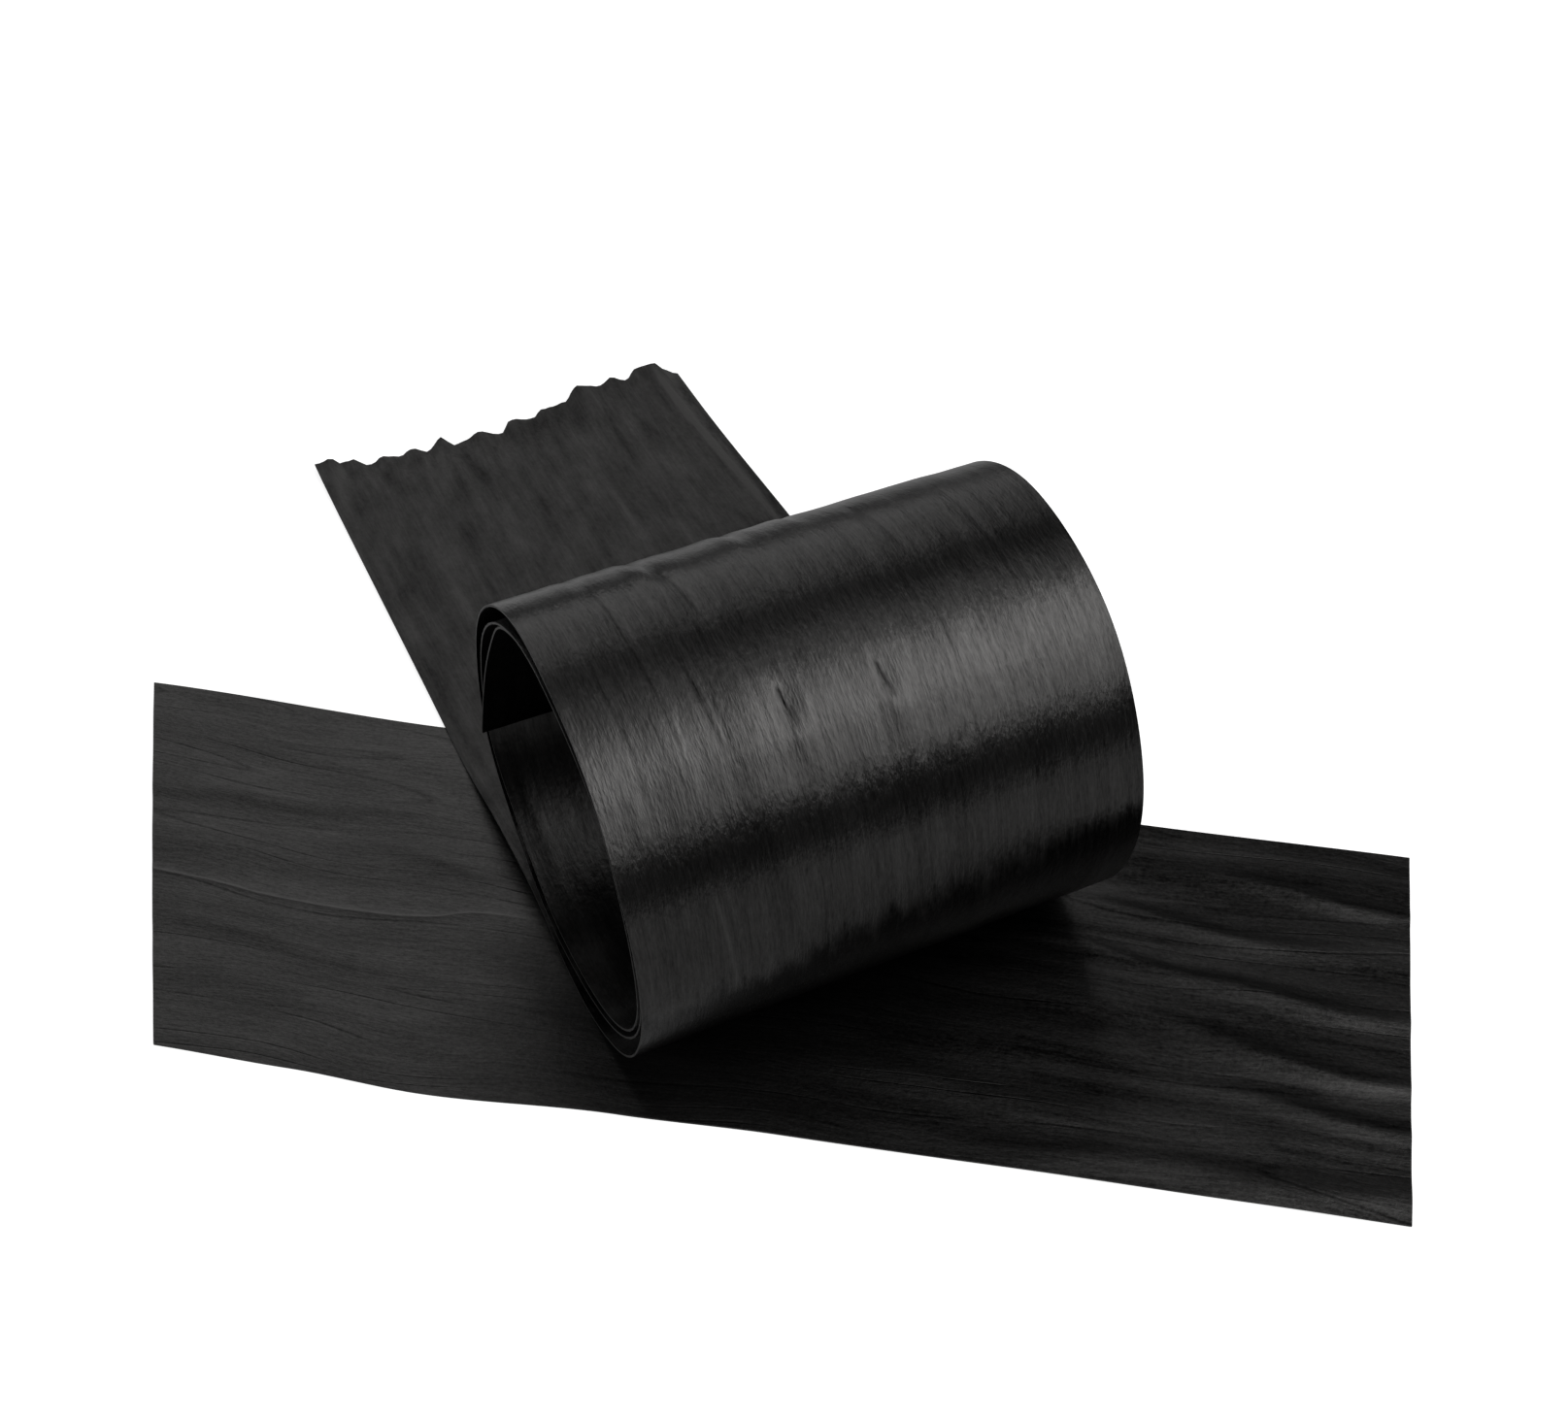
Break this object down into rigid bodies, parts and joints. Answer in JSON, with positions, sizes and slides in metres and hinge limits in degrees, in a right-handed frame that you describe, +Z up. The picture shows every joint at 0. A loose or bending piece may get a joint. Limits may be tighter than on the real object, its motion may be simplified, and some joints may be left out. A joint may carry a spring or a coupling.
{
  "type": "duct tape roll",
  "caption": "Loosely wound, coreless roll of black cloth tape with a torn tail, standing across a separate flat length of the same tape.",
  "frame": {"origin": "on the surface that the part lies on, at the flat length's underside, directly under the middle of the coil", "axes": "+X along the coil's axis, from the end whose hollow faces the viewer to the other end; +Y back along the tail; +Z up"},
  "size_m": [0.1239, 0.15, 0.042],
  "materials": {
    "film": "satin black film with fine streaks along the tape",
    "cloth": "black woven cloth, seen only at the cut edges",
    "adhesive": "matte black, softly mottled"
  },
  "bodies": {
    "flat_length": {"flat_adhesive": "adhesive", "flat_cloth": "cloth", "flat_film": "film"},
    "wound_roll": {"roll_film": "film", "roll_cloth": "cloth", "roll_adhesive": "adhesive"},
    "torn_tail": {"tail_film": "film", "tail_cloth": "cloth", "tail_adhesive": "adhesive"}
  },
  "joints": [
    {"name": "roll_lift", "type": "slide", "parent": "flat_length", "child": "wound_roll", "axis": [0, 0, 1], "range_m": [0, 0.06]},
    {"name": "tail_flex", "type": "hinge", "parent": "wound_roll", "child": "torn_tail", "pos_m": [0, 0.04, 0.00042], "axis": [1, 0, 0], "range_deg": [0, 75]}
  ]
}
